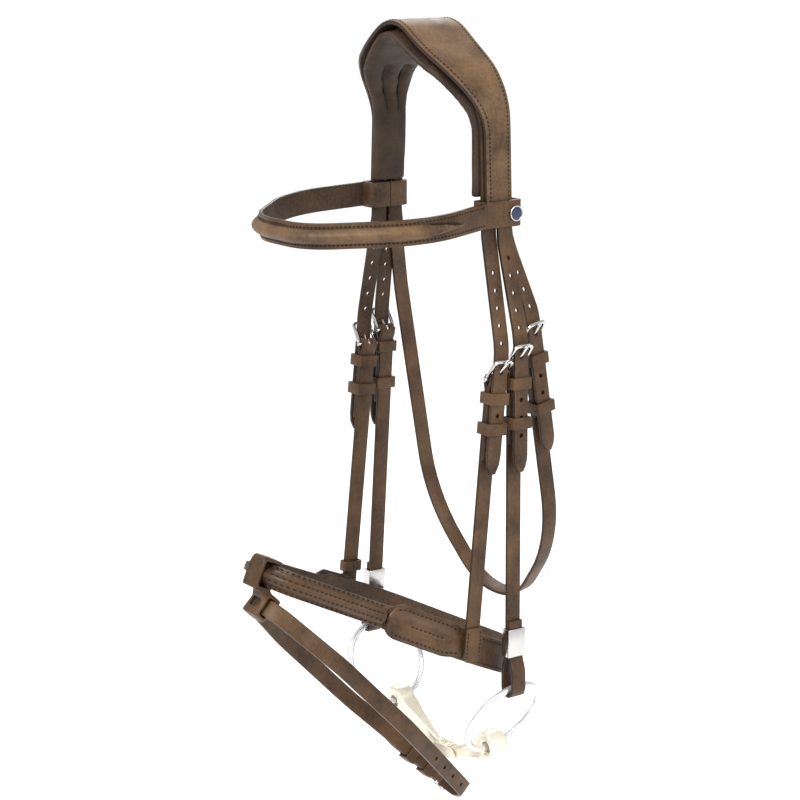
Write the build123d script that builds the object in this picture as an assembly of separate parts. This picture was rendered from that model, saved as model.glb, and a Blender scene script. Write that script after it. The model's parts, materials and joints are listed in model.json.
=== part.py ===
from build123d import *
import os
from math import atan2, cos, degrees, radians, sin, sqrt, tan

# English snaffle bridle, modelled hanging as it does on a horse's head.
# +X is the near (left) side, -Y the front, +Z up; the origin is under the pad at the poll.

# ---------------------------------------------------------------- driving dimensions, mm
# headpiece arch, seen from the front: the pad's inner face
side_half_width = 52.0          # half the head's width where the arch turns down
side_splay = 2.5                # the sides lean outwards this many degrees
arch_slope = 36.0               # slope of the two upper runs
arch_apex_z = 3.0               # where the two upper runs would meet before rounding
arch_corner_z = arch_apex_z - side_half_width * tan(radians(arch_slope))
arch_top_radius = 15.0
arch_corner_radius = 42.0
layer_gap = 0.3
pad_thickness = 7.0
headstrap_thickness = 2.8
crown_thickness = 3.6
# headpiece seen from the side
poll_front = -28.0
poll_rear = 25.0
pad_overhang = 2.5
side_front = 4.0
side_rear = 27.0
pad_foot = -106.0
crown_foot = -136.0
hanger_billet_y = 9.0
cheek_billet_y = 20.5
throat_billet_y = 23.5
headstrap_poll_y = 10.0         # the two thin straps lie side by side under the crown
flare_top = -8.0
flare_bottom = -52.0

strap_width = 12.5
strap_thickness = 2.6
billet_thickness = 2.6
flex_gap = 1.4                  # where a leather strap bends, its two rigid halves stand this far apart
hole_radius = 1.6
hole_pitch = 13.0
running_clearance = 0.4

# buckles: wire frame tilted outwards over the billet, held in a fold of the lower strap
bar_radius = 1.5
frame_wire = 1.9
frame_clearance = 0.6
frame_height = 18.4
frame_tilt = 35.0
fold_clearance = 0.35
tongue_width = 2.2
tongue_thickness = 2.0
tongue_slot = 4.6
tongue_curl_radius = 3.4
keeper_wall = 1.8
keeper_height = 8.5

# places of the hanging sets: bar centre (x, y, z), lean outwards and forwards in degrees
cheek_bar = (77.5, 24.5, -227.0)
cheek_splay = 2.5
cheek_lean = 1.5
hanger_bar = (76.4, 6.0, -236.0)
hanger_splay = 0.5
hanger_lean = 5.6
throat_bar = (72.0, 43.0, -213.0)
keeper_drop = 13.0
cheek_runner_drop = 42.0
hanger_runner_drop = 35.0
throat_runner_drop = 50.0
cheek_tip_drop = 78.0
hanger_tip_drop = 68.0
throat_tip_drop = 84.0

# cheekpiece: from the bar to the ring it carries
cheek_length = 242.0
clip_height = 21.0
clip_wall = 1.2
clip_drop = 196.0
clip_travel = 60.0

# loose-ring bit with a double-jointed mouthpiece; everything turns about lines along Y
ring_radius = 32.5
ring_wire = 5.0
ring_tilt = 28.0
ring_loop_clearance = 1.7
bit_lean = 6.0                  # the bit hangs slightly back from the cheekpieces
eye_clearance = 0.9
arm_length = 54.0
arm_root_radius = 9.0
arm_tip_radius = 5.0
eye_width = 11.0
link_half_length = 9.0
link_thickness = 4.6
pin_radius = 2.4
pin_clearance = 0.5

# browband: plane through the two loops, dropping slightly to the front
browband_height = 18.0
browband_thickness = 2.8
browband_rear_y = 14.0
browband_z = -119.0
browband_front_y = -124.0
browband_drop = 4.0
browband_bulge = 14.0           # how far each side bows out past its loop
roll_thickness = 4.0
roll_height = 8.0
roll_start = 0.42               # the raised roll starts at this share of the browband's reach
badge_radius = 5.6

# noseband: plane through its front and its rear strap
noseband_front = (0.0, -140.0, -372.0)
noseband_slope = 26.0
noseband_length = 252.0
noseband_half_width = 74.0
noseband_height = 23.0
noseband_front_height = 17.0    # it narrows in front of the cheek pads
noseband_rear_half = 14.0
noseband_thickness = 3.6
cheek_pad_height = 27.0
cheek_pad_thickness = 3.2
cheek_pad_start = 80.0
cheek_pad_end = 140.0
nose_roll_height = 13.0
nose_roll_thickness = 6.0

# flash: a slotted tab round the nose roll and a strap through its slot
flash_slope = 46.4
flash_front = (0.0, -144.0, -395.0)
flash_half_width = 38.0
flash_length = 262.0
flash_thickness = 3.0
tab_thickness = 3.0
tab_width = 17.0

# throatlatch: plane leaning back from the browband
throat_lean = 10.0
throat_bottom = -430.0

os.makedirs("parts", exist_ok=True)
nodes = {}


def keep(name, solid):
    nodes[name] = solid


def side_pair(name, near_solid):
    keep(name + "_near", near_solid)
    keep(name + "_far", mirror(near_solid, about=Plane.YZ))


# ---------------------------------------------------------------- shared shapes
def profile_plane(y=0.0):
    """Drawing plane seen from the front: local x is X, local y is Z; extrusion runs along Y."""
    return Plane(origin=(0, y, 0), x_dir=(1, 0, 0), z_dir=(0, -1, 0))


def slab(x0, x1, y0, y1, z0, z1):
    """A box between two corners."""
    return Pos((x0 + x1) / 2, (y0 + y1) / 2, (z0 + z1) / 2) * Box(abs(x1 - x0), abs(y1 - y0), abs(z1 - z0))


def rod_y(x, z, radius, length, y=0.0):
    """A round bar along Y."""
    return Pos(x, y, z) * Rot(90, 0, 0) * Cylinder(radius, length)


def rod_x(y, z, radius, x0, x1):
    """A round bar along X, used to punch holes."""
    return Pos((x0 + x1) / 2, y, z) * Rot(0, 90, 0) * Cylinder(radius, abs(x1 - x0))


# ---------------------------------------------------------------- headpiece
def arch_outline(foot):
    """The arch's inner line, closed far below so that it can be offset as a face."""
    foot_x = side_half_width + (arch_corner_z - foot) * tan(radians(side_splay))
    outline = make_face(Polyline((-foot_x, foot), (-side_half_width, arch_corner_z), (0, arch_apex_z),
                                 (side_half_width, arch_corner_z), (foot_x, foot), close=True))
    corners = outline.vertices().sort_by(Axis.Y)[2:4]
    outline = fillet(corners, arch_corner_radius)
    top = outline.vertices().sort_by(Axis.Y)[-1]
    return fillet(top, arch_top_radius)


arch_face = arch_outline(-400.0)


def arch_layer(inner, outer, foot):
    """Cross-section of one layer of the arch between two distances from the inner line, cut off at foot."""
    outer_face = offset(arch_face, outer, kind=Kind.ARC)
    inner_face = offset(arch_face, inner, kind=Kind.ARC) if inner else arch_face
    below = Pos(0, foot - 300) * Rectangle(500, 600)
    return outer_face - inner_face - below


def arch_x(z, distance):
    """X of the arch's side line at height z, at a distance outside the inner line."""
    splay = radians(side_splay)
    return side_half_width + (arch_corner_z - z) * tan(splay) + distance / cos(splay)


def side_view(front, rear, poll_front_y, poll_rear_y, foot):
    """Outline seen from the side: wide over the poll, narrow down the sides."""
    line = Polyline((poll_front_y, 60), (poll_front_y, flare_top), (front, flare_bottom), (front, foot),
                    (rear, foot), (rear, flare_bottom), (poll_rear_y, flare_top), (poll_rear_y, 60),
                    close=True)
    return extrude(Plane.YZ * make_face(line), amount=200, both=True)


def layer_solid(inner, outer, foot, window):
    body = extrude(profile_plane() * arch_layer(inner, outer, foot), amount=100, both=True)
    return body & window


headstrap_inner = pad_thickness + layer_gap
crown_inner = headstrap_inner + headstrap_thickness + layer_gap
crown_outer = crown_inner + crown_thickness

pad = layer_solid(0, pad_thickness, pad_foot,
                  side_view(side_front - pad_overhang, side_rear + pad_overhang,
                            poll_front - pad_overhang, poll_rear + pad_overhang, pad_foot))
keep("headpiece_pad", pad)


# billets: straight straps from the headpiece's foot to the flex line above each buckle
def billet_x():
    """Local x of the billet's mid-plane, outside the fold round the buckle bar."""
    return bar_radius + fold_clearance + strap_thickness + layer_gap + billet_thickness / 2


flex_height = frame_height * cos(radians(frame_tilt)) + frame_wire + 2.0


def set_location(bar, splay, lean):
    """Where a hanging set goes: its bar centre, leaning outwards about Y and forwards about X."""
    return Location(bar) * Location((0, 0, 0), (-lean, 0, 0)) * Location((0, 0, 0), (0, -splay, 0))


cheek_set = set_location(cheek_bar, cheek_splay, cheek_lean)
hanger_set = set_location(hanger_bar, hanger_splay, hanger_lean)
throat_set = set_location(throat_bar, 0.0, -throat_lean)


def flex_point(location):
    """Centre of the flex line in the row frame."""
    return (location * Location((billet_x(), 0, flex_height))).position


def billet_run(location, start, width, thickness, top_overlap=0.0):
    """A flat strap from a start point on the headpiece to the flex line of a set."""
    end = flex_point(location)
    down = Vector(end.X - start[0], end.Y - start[1], end.Z - start[2])
    length = down.length
    z_axis = -down.normalized()
    y_axis = z_axis.cross(Vector(1, 0, 0)).normalized()
    x_axis = y_axis.cross(z_axis)
    frame = Plane(origin=start, x_dir=x_axis, z_dir=z_axis)
    run = frame * slab(-thickness / 2, thickness / 2, -width / 2, width / 2,
                       top_overlap, -(length - flex_gap / 2))
    holes = [frame * rod_x(0, -(length - 14 - hole_pitch * i), hole_radius, -9, 9) for i in range(3)]
    return run - holes


crown_mid = (crown_inner + crown_outer) / 2
headstrap_mid = headstrap_inner + headstrap_thickness / 2
cheek_start = (arch_x(crown_foot, crown_mid), cheek_billet_y, crown_foot)
hanger_start = (arch_x(crown_foot, headstrap_mid), hanger_billet_y, crown_foot)
throat_start = (arch_x(crown_foot, headstrap_mid), throat_billet_y, crown_foot)

crown_window = side_view(side_front, side_rear, poll_front, poll_rear, crown_foot)
crown = layer_solid(crown_inner, crown_outer, crown_foot, crown_window)
cheek_billet = billet_run(cheek_set, cheek_start, strap_width, billet_thickness + 0.6, 3.0)
crown = crown + cheek_billet + mirror(cheek_billet, about=Plane.YZ)
keep("headpiece_leather", crown)

half_strap = strap_width / 2


def headstrap_arch(side_y, poll_y):
    """A thin strap over the poll between the pad and the crown leather."""
    window = side_view(side_y - half_strap, side_y + half_strap, poll_y - half_strap, poll_y + half_strap,
                       crown_foot)
    return layer_solid(headstrap_inner, headstrap_inner + headstrap_thickness, crown_foot, window)


headstrap = headstrap_arch(hanger_billet_y, -headstrap_poll_y)
hanger_billet = billet_run(hanger_set, hanger_start, strap_width, billet_thickness, 3.0)
headstrap = headstrap + hanger_billet + mirror(hanger_billet, about=Plane.YZ)
keep("noseband_headstrap", headstrap)

throat_headstrap = headstrap_arch(throat_billet_y, headstrap_poll_y)
throat_billet = billet_run(throat_set, throat_start, strap_width, billet_thickness, 3.0)
throat_headstrap = throat_headstrap + throat_billet + mirror(throat_billet, about=Plane.YZ)
keep("throatlatch_headstrap", throat_headstrap)


# ---------------------------------------------------------------- buckle sets
# Local frame of a set: origin at the bar, x outwards, y across the strap, z up the billet.
tilt = Rot(0, frame_tilt, 0)
frame_half = half_strap + frame_clearance + frame_wire
fold_inner = bar_radius + fold_clearance
fold_outer = fold_inner + strap_thickness
billet_in = fold_outer + layer_gap
billet_out = billet_in + billet_thickness


def buckle_frame():
    """A rounded wire frame standing on its bar, tilted outwards so the billet passes behind its top."""
    outer = Pos(0, frame_height / 2) * RectangleRounded(2 * frame_half, frame_height, 4.0)
    window_top = frame_height - frame_wire
    window_width = 2 * frame_half - 2 * frame_wire
    window = Pos(0, window_top / 2 - 4) * RectangleRounded(window_width, window_top + 8, 2.4)
    loop = extrude(Plane.YZ * (outer - window), amount=frame_wire / 2, both=True)
    feet = Pos(0, 0, -bar_radius) * Box(40, window_width, 2 * bar_radius)
    bar = rod_y(0, 0, bar_radius, 2 * frame_half)
    return tilt * (loop - feet) + bar


def buckle_tongue():
    """A prong curled round the bar, its tip resting on the outside of the frame's top."""
    rest = frame_wire / 2 + tongue_thickness / 2 + layer_gap
    reach = frame_height + 1.0
    angle = frame_tilt + degrees(atan2(rest, frame_height - frame_wire / 2))
    curl_inner = bar_radius + 0.2
    curl = rod_y(0, 0, tongue_curl_radius, tongue_width) - rod_y(0, 0, curl_inner, tongue_width + 2)
    prong = Rot(0, angle, 0) * slab(-tongue_thickness / 2, tongue_thickness / 2, -tongue_width / 2,
                                    tongue_width / 2, curl_inner + 0.5, reach)
    return curl + prong


def folded_end(fold_length):
    """The lower strap's top: a fold round the bar, slotted for the tongue, stitched down as two layers."""
    curl = rod_y(0, 0, fold_outer, strap_width) - rod_y(0, 0, fold_inner, strap_width + 2)
    block = slab(-strap_thickness, strap_thickness, -half_strap, half_strap, -fold_inner - 0.4, -fold_length)
    slot = slab(-20, 20, -tongue_slot / 2, tongue_slot / 2, -tongue_curl_radius - 0.4, 20)
    return curl + block - slot


def keeper(drop, clearance):
    """A flat leather loop round both straps, its centre at a drop below the bar."""
    inner = slab(-strap_thickness - clearance, billet_out + clearance, -half_strap - clearance,
                 half_strap + clearance, -drop - 20, -drop + 20)
    wall = clearance + keeper_wall
    outer = slab(-strap_thickness - wall, billet_out + wall, -half_strap - wall, half_strap + wall,
                 -drop - keeper_height / 2, -drop + keeper_height / 2)
    return outer - inner


def billet_tip(tip_drop):
    """The billet below its flex line: through the frame, over the bar and down to a tapered point."""
    shoulder = 9.0
    top = flex_height - flex_gap / 2
    outline = make_face(Polyline((-half_strap, top), (half_strap, top), (half_strap, -tip_drop + shoulder),
                                 (2.0, -tip_drop), (-2.0, -tip_drop),
                                 (-half_strap, -tip_drop + shoulder), close=True))
    tip = Pos(billet_in, 0, 0) * extrude(Plane.YZ * outline, amount=billet_thickness)
    slot = slab(0, 12, -tongue_slot / 2, tongue_slot / 2, 0.6, 11.0)
    below = [rod_x(0, -hole_pitch * (i + 1) - 12, hole_radius, 0, 12)
             for i in range(int((tip_drop - 30) / hole_pitch))]
    return tip - slot - below


def buckle_set(name, location, runner_drop, tip_drop, far_too=True, with_tip=True, with_runner=True):
    """All the pieces of one buckle, placed in the row frame and mirrored to the far side if asked."""
    pieces = {"buckle": buckle_frame(), "tongue": buckle_tongue(), "keeper": keeper(keeper_drop, 0.15)}
    if with_runner:
        pieces["runner"] = keeper(runner_drop, running_clearance)
    if with_tip:
        pieces["billet_tip"] = billet_tip(tip_drop)
    for piece, solid in pieces.items():
        placed = location * solid
        if far_too:
            side_pair(name + "_" + piece, placed)
        else:
            keep(name + "_" + piece, placed)


buckle_set("cheek", cheek_set, cheek_runner_drop, cheek_tip_drop)
buckle_set("noseband", hanger_set, hanger_runner_drop, hanger_tip_drop)
buckle_set("throatlatch", throat_set, throat_runner_drop, throat_tip_drop, far_too=False)

# ---------------------------------------------------------------- cheekpieces
fold_length = 60.0
loop_inner = ring_wire / 2 + ring_loop_clearance
loop_outer = loop_inner + strap_thickness
loop_top = cheek_length - 16.0
double_top = clip_drop - 8.0


def cheek_strap():
    """Strap from its buckle fold to the doubled loop that carries the bit ring."""
    main = slab(-strap_thickness, 0, -half_strap, half_strap, -fold_length + 1, -double_top - 1)
    double = slab(-strap_thickness, strap_thickness, -half_strap, half_strap, -double_top, -loop_top + 10)
    side = Polyline((-strap_thickness, -loop_top + 10), (strap_thickness, -loop_top + 10),
                    (loop_outer, -loop_top - 2), (loop_outer, -cheek_length), (-loop_outer, -cheek_length),
                    (-loop_outer, -loop_top - 2), close=True)
    loop = make_face(side) + Pos(0, -cheek_length) * Circle(loop_outer)
    hole = Pos(0, -cheek_length) * Circle(loop_inner)
    hole += make_face(Polyline((-loop_inner, -cheek_length), (loop_inner, -cheek_length),
                               (loop_inner, -loop_top - 3), (0.4, -loop_top + 5), (-0.4, -loop_top + 5),
                               (-loop_inner, -loop_top - 3), close=True))
    loop = extrude(profile_plane() * (loop - hole), amount=half_strap, both=True)
    return folded_end(fold_length) + main + double + loop


def slide_clip():
    """The metal sleeve that locks the doubled strap above the ring."""
    inner = slab(-strap_thickness - running_clearance, strap_thickness + running_clearance,
                 -half_strap - running_clearance, half_strap + running_clearance, -400, 0)
    wall = running_clearance + clip_wall
    return slab(-strap_thickness - wall, strap_thickness + wall, -half_strap - wall, half_strap + wall,
                -clip_drop, -clip_drop - clip_height) - inner


side_pair("cheekpiece", cheek_set * cheek_strap())
side_pair("slide_clip", cheek_set * slide_clip())

# ---------------------------------------------------------------- bit
bit_top = (cheek_set * Location((0, 0, -cheek_length))).position
bit_frame = Location((0, bit_top.Y, bit_top.Z), (bit_lean, 0, 0))
top_x = bit_top.X
tilt_sin = sin(radians(ring_tilt))
tilt_cos = cos(radians(ring_tilt))
eye_x = top_x - 2 * ring_radius * tilt_sin
eye_z = -2 * ring_radius * tilt_cos
pin_z = eye_z - sqrt(arm_length ** 2 - (eye_x - link_half_length) ** 2)
ring = Pos(top_x - ring_radius * tilt_sin, 0, -ring_radius * tilt_cos) * Rot(0, 90 + ring_tilt, 0)
ring *= Torus(ring_radius, ring_wire / 2)
side_pair("bit_ring", bit_frame * ring)


def mouth_arm():
    """One tapered arm of the mouthpiece, from the ring's eye to the link pin."""
    droop = degrees(atan2(eye_z - pin_z, eye_x - link_half_length))
    eye_radius = arm_root_radius
    root_half = eye_radius * 0.8
    tip_half = arm_tip_radius * 0.8
    body = make_face(Polyline((0, -root_half), (0, root_half), (arm_length, tip_half),
                              (arm_length, -tip_half), close=True))
    body += Circle(eye_radius) + Pos(arm_length, 0) * Circle(arm_tip_radius)
    eye_bore = ring_wire / 2 + eye_clearance
    pin_bore = pin_radius + pin_clearance
    body = body - Circle(eye_bore) - Pos(arm_length, 0) * Circle(pin_bore)
    flat = extrude(Plane.XZ * body, amount=eye_width / 2, both=True)
    taper = Polyline((-20, eye_width / 2), (-20, -eye_width / 2), (14, -eye_width / 2),
                     (arm_length - 8, -2.6), (arm_length + 20, -2.6), (arm_length + 20, 2.6),
                     (arm_length - 8, 2.6), (14, eye_width / 2), close=True)
    arm = flat & extrude(make_face(taper), amount=60, both=True)
    return Pos(eye_x, 0, eye_z) * Rot(0, 180 - droop, 0) * arm


side_pair("mouthpiece_arm", bit_frame * mouth_arm())


def centre_link():
    """The short link between the arms: two side plates, a web and two pins."""
    plate = SlotOverall(2 * link_half_length + 2 * arm_tip_radius, 2 * arm_tip_radius)
    plates = extrude(Plane.XZ * plate, amount=3.0 + 1.8, both=True)
    plates -= extrude(Plane.XZ * Rectangle(200, 200), amount=3.0, both=True)
    web = slab(-2.6, 2.6, -3.2, 3.2, -4.0, 4.0)
    pins = [rod_y(x, 0, pin_radius, 9.6) for x in (-link_half_length, link_half_length)]
    return Pos(0, 0, pin_z) * (plates + web + pins)


keep("mouthpiece_link", bit_frame * centre_link())


# ---------------------------------------------------------------- bands that go round the head
def path(points, radii):
    """Straight runs joined by tangent arcs, one radius per inner corner."""
    return FilletPolyline(*points, radius=radii)


def closed_outline(half_points, radii):
    """A loop symmetric about X = 0: right-half corners from front to rear, each with its own radius."""
    left = [(-x, y) for x, y in reversed(half_points)]
    face = make_face(Polyline(*(half_points + left), close=True))
    for (x, y), radius in zip(half_points, radii):
        corners = [v for v in face.vertices() if abs(abs(v.X) - x) < 0.01 and abs(v.Y - y) < 0.01]
        face = fillet(corners, radius)
    return face


def loop_band(face, frame, grow_in, grow_out, height):
    """A band standing on a loop outline, from grow_in inside it to grow_out outside it."""
    section = offset(face, grow_out, kind=Kind.ARC) - offset(face, grow_in, kind=Kind.ARC)
    return extrude(frame * section, amount=height / 2, both=True)


def open_band(line, thickness, frame, height):
    """A band of even thickness along an open line."""
    section = make_face(line.wire().offset_2d(thickness / 2, side=Side.BOTH))  # ends come out round
    return extrude(frame * section, amount=height / 2, both=True)


def sloped_frame(origin, slope):
    """Drawing plane across the head: local x is X, local y runs back and down at the slope."""
    down = Vector(0, cos(radians(slope)), -sin(radians(slope)))
    return Plane(origin=origin, x_dir=(1, 0, 0), z_dir=Vector(1, 0, 0).cross(down))


# browband: a front ribbon whose ends are loops round the headpiece
loop_clear = 0.5
loop_in_x = arch_x(browband_z, headstrap_inner) - 1.6
loop_out_x = arch_x(browband_z, crown_outer) + 1.6
loop_front = hanger_billet_y - half_strap - loop_clear - 1.4
loop_rear = throat_billet_y + half_strap + loop_clear
band_frame = sloped_frame((0, loop_front, browband_z), -browband_drop)
band_wall = browband_thickness
reach = loop_front - browband_front_y
band_half = loop_out_x + band_wall / 2 - 0.6
loop_half = browband_height / 2 + 0.5
brow_side = band_half + browband_bulge
brow_points = [(-band_half, 1), (-brow_side, -reach * 0.5), (-30, -reach), (30, -reach),
               (brow_side, -reach * 0.5), (band_half, 1)]
brow_radii = [60, 45, 45, 60]
band = open_band(path(brow_points, brow_radii), band_wall, band_frame, browband_height)
loop_box = slab(loop_in_x - band_wall, loop_out_x + band_wall, loop_front - band_wall, loop_rear + band_wall,
                browband_z - loop_half, browband_z + loop_half)
loop_box -= slab(loop_in_x, loop_out_x, loop_front, loop_rear, browband_z - 30, browband_z + 30)
band = band + loop_box + mirror(loop_box, about=Plane.YZ)
inside_loop = slab(loop_in_x, loop_out_x, loop_front, loop_rear, browband_z - 30, browband_z + 30)
keep("browband", band - inside_loop - mirror(inside_loop, about=Plane.YZ))

roll_shift = band_wall / 2 + 0.1 + roll_thickness / 2
sides = [path(brow_points, brow_radii).wire().offset_2d(roll_shift, side=side, closed=False)
         for side in (Side.LEFT, Side.RIGHT)]
roll_line = sorted(sides, key=lambda wire: wire.bounding_box().min.Y)[0]
roll_front = band_frame * slab(-200, 200, -200, -reach * roll_start, -60, 60)
keep("browband_roll", open_band(roll_line, roll_thickness, band_frame, roll_height) & roll_front)

badge_y = loop_rear - badge_radius + 1.0
badge_x = loop_out_x + band_wall
bezel = Pos(badge_x + 1.0, badge_y, browband_z) * Rot(0, 90, 0)
bezel_ring = bezel * (Cylinder(badge_radius, 2.0) - Pos(0, 0, 0.5) * Cylinder(badge_radius - 1.0, 1.0))
keep("badge_bezel", bezel_ring)
keep("badge_face", Pos(badge_x + 1.55, badge_y, browband_z) * Rot(0, 90, 0)
     * Cylinder(badge_radius - 1.1, 0.8))

# noseband: one strap round the nose, roll in front, shaped pads on the cheeks
nose_frame = sloped_frame(noseband_front, noseband_slope)
rear_knee = (noseband_half_width - 4.0, 185.0)
nose_corners = [(22.0, 0.0), (44.0, 80.0), (noseband_half_width, 150.0), rear_knee,
                (noseband_rear_half, noseband_length)]
nose_radii = [20, 60, 50, 30, 12]
nose_face = closed_outline(nose_corners, nose_radii)


def cut_between(solid, start, end, left_limit):
    """Keep the part of a band between two distances back from the front, to the right of a limit."""
    return solid & (nose_frame * slab(left_limit, 200, start, end, -60, 60))


def nose_band(height):
    return loop_band(nose_face, nose_frame, -noseband_thickness / 2, noseband_thickness / 2, height)


front_part = cut_between(nose_band(noseband_front_height), -20, cheek_pad_start, -200)
rear_part = cut_between(nose_band(noseband_height), cheek_pad_start, 400, -200)
keep("noseband_strap", front_part + rear_part)

outer_face_gap = 0.15
roll_band = loop_band(nose_face, nose_frame, noseband_thickness / 2 + outer_face_gap,
                      noseband_thickness / 2 + outer_face_gap + nose_roll_thickness, nose_roll_height)
keep("nose_roll", cut_between(roll_band, -20, cheek_pad_start - 1.0, -200))
pad_band = loop_band(nose_face, nose_frame, noseband_thickness / 2 + outer_face_gap,
                     noseband_thickness / 2 + outer_face_gap + cheek_pad_thickness, cheek_pad_height)
side_pair("cheek_pad", cut_between(pad_band, cheek_pad_start, cheek_pad_end, 0))

# noseband hangers: from the buckle fold down to a flap stitched on the outside of the noseband
hanger_flap = 15.0


def hanger_strap():
    """The noseband's hanging strap, ending in a flap that lies on the outside of the nose strap."""
    bottom = (nose_frame * Pos(noseband_half_width, hanger_s, 0)).position.Z - hanger_bar[2]
    main = slab(-strap_thickness, 0, -half_strap, half_strap, -fold_length + 1, bottom - hanger_flap / 2)
    return folded_end(fold_length) + main


hanger_s = 157.5
side_pair("noseband_hanger", hanger_set * hanger_strap())

# flash: tab round the front of the noseband, strap through the tab's lower eye
tab_clear = 0.4
nose_y, nose_z = noseband_front[1], noseband_front[2]
nose_in_y = -(noseband_thickness / 2 + outer_face_gap + nose_roll_thickness + tab_clear)
nose_out_y = noseband_thickness / 2 + tab_clear
nose_half = noseband_front_height / 2 + tab_clear
tab_frame = Location(noseband_front, (-noseband_slope, 0, 0))
tab_over = slab(-tab_width / 2, tab_width / 2, nose_in_y - tab_thickness, nose_out_y + tab_thickness,
                -nose_half - tab_thickness, nose_half + tab_thickness)
tab_over -= slab(-60, 60, nose_in_y, nose_out_y, -nose_half, nose_half)
flash_frame = sloped_frame(flash_front, flash_slope)
eye_frame = Location(flash_front, (-flash_slope, 0, 0))
tab_eye_y = 3.4
tab_eye_z = half_strap + 0.8
tab_eye = slab(-tab_width / 2, tab_width / 2, -tab_eye_y - tab_thickness, tab_eye_y + tab_thickness,
               -tab_eye_z - tab_thickness, tab_eye_z + tab_thickness)
tab_eye_hole = slab(-60, 60, -tab_eye_y, tab_eye_y, -tab_eye_z, tab_eye_z)
neck_top = nose_z - nose_half
neck = slab(-tab_width / 2, tab_width / 2, flash_front[1] - 3.5, flash_front[1] + 2.5,
            neck_top, flash_front[2] + tab_eye_z)
flash_tab = (tab_frame * tab_over + neck + eye_frame * tab_eye) - eye_frame * tab_eye_hole
flash_tab -= tab_frame * slab(-60, 60, nose_in_y, nose_out_y, -nose_half, nose_half)
keep("flash_tab", flash_tab)

# the strap: up the far arm from the buckle bar, through the eye, down the near arm and back up outside
far_start = Vector(-10.0, flash_length - 12.0)
far_knee = Vector(-flash_half_width, 150.0)
arm_dir = (far_start - far_knee).normalized()
out_dir = Vector(-arm_dir.Y, arm_dir.X)
if out_dir.X > 0:
    out_dir = -out_dir
billet_shift = (billet_in + billet_out) / 2
tip_length = 62.0
turn = far_start + out_dir * billet_shift + arm_dir * 23.0
tip_end = far_start + out_dir * billet_shift - arm_dir * tip_length
near_knee = Vector(flash_half_width, 150.0)
near_end = Vector(15, flash_length - 6.0)
flash_points = [far_start - arm_dir * 4.0, far_knee, Vector(-flash_half_width, 62.0), Vector(-17, 0),
                Vector(17, 0), Vector(flash_half_width, 62.0), near_knee, near_end, turn, tip_end]
flash_radii = [90, 60, 16, 16, 60, 90, 12, 6]
flash_line = path([(p.X, p.Y) for p in flash_points], flash_radii)
flash_band = open_band(flash_line, strap_thickness, flash_frame, strap_width)
flash_origin = flash_frame.from_local_coords(Vector(far_start.X, far_start.Y, 0))
flash_up = flash_frame.from_local_coords(far_start - arm_dir) - flash_origin
flash_out = flash_frame.from_local_coords(far_start + out_dir) - flash_origin
flash_set = Plane(origin=flash_origin, x_dir=flash_out, z_dir=-flash_up).location
flash_slot = flash_set * slab(0.5, 12, -tongue_slot / 2, tongue_slot / 2, 0.6, 11.0)
near_run = near_end - near_knee
near_across = near_run.normalized()
flash_holes = []
for i in range(6):
    spot = near_knee + near_run * (0.25 + 0.13 * i)
    origin = flash_frame.from_local_coords(spot)
    across = flash_frame.from_local_coords(spot + Vector(near_across.Y, -near_across.X)) - origin
    flash_holes.append(Plane(origin=origin, z_dir=across) * Cylinder(hole_radius, 8))
flash_strap = (flash_band - flash_set * rod_y(0, 0, fold_outer + 0.2, 60)) + flash_set * folded_end(22.0)
keep("flash_strap", flash_strap - flash_slot - flash_holes)
buckle_set("flash", flash_set, 32.0, 0, far_too=False, with_tip=False)

# throatlatch: down the near side from its buckle, under the throat and up the far side
throat_x = throat_bar[0]
throat_frame = Plane(origin=throat_bar, x_dir=(1, 0, 0),
                     z_dir=Vector(1, 0, 0).cross(Vector(0, sin(radians(throat_lean)),
                                                        -cos(radians(throat_lean)))))
throat_depth = (throat_bar[2] - throat_bottom) / cos(radians(throat_lean))
near_x = -strap_thickness / 2
far_x = -2 * throat_x - billet_x()
middle = (near_x + far_x) / 2
throat_turn = throat_depth * 0.72
throat_points = [(near_x, fold_length - 2), (near_x, throat_turn), (middle + 24, throat_depth),
                 (middle - 24, throat_depth), (far_x, throat_turn),
                 (far_x, -flex_height + (flex_gap + strap_thickness) / 2)]
throat_band = open_band(path(throat_points, [110, 46, 46, 110]), strap_thickness, throat_frame, strap_width)
keep("throatlatch_strap", throat_band + throat_set * folded_end(fold_length))

# chin closure on the far rear run: a chape carries the buckle, a billet lies over it
chin_seat = fold_outer + 0.6
run_start = Vector(-rear_knee[0], rear_knee[1])
run_end = Vector(-noseband_rear_half, noseband_length)
chin_dir = (run_end - run_start).normalized()
chin_out = Vector(-chin_dir.Y, chin_dir.X)
chin_spot = (run_start + run_end) / 2 + chin_out * (noseband_thickness / 2 + chin_seat)
chin_origin = nose_frame.from_local_coords(chin_spot)
chin_set = Plane(origin=chin_origin, x_dir=nose_frame.from_local_coords(chin_spot + chin_out) - chin_origin,
                 z_dir=nose_frame.from_local_coords(chin_spot + chin_dir) - chin_origin).location
chin_foot = slab(-chin_seat + outer_face_gap, -strap_thickness + 0.5, -half_strap, half_strap, -19, -26)
keep("chin_chape", chin_set * (folded_end(26.0) + chin_foot))
buckle_set("chin", chin_set, 0, 0, far_too=False, with_tip=False, with_runner=False)
chin_billet = slab(billet_in, billet_out, -half_strap, half_strap, -26, 34)
chin_billet += slab(-chin_seat + outer_face_gap, billet_out, -half_strap, half_strap, 26, 34)
keep("chin_billet", chin_set * (chin_billet - slab(0, 12, -tongue_slot / 2, tongue_slot / 2, 0.6, 11.0)))

for name, solid in nodes.items():
    export_step(solid, "parts/" + name + ".step")
print(len(nodes), "nodes")
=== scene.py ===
# %% [markdown]
# An English snaffle bridle, dressed in leather and steel over its measured frame.
# The frame holds every strap, buckle and ring at its true place, in metres. This lesson
# gives each one the shape and finish a saddler would give it, the way a saddler works:
# a strap is cut flat on the bench, skived, punched and stitched, and only then bent.

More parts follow.
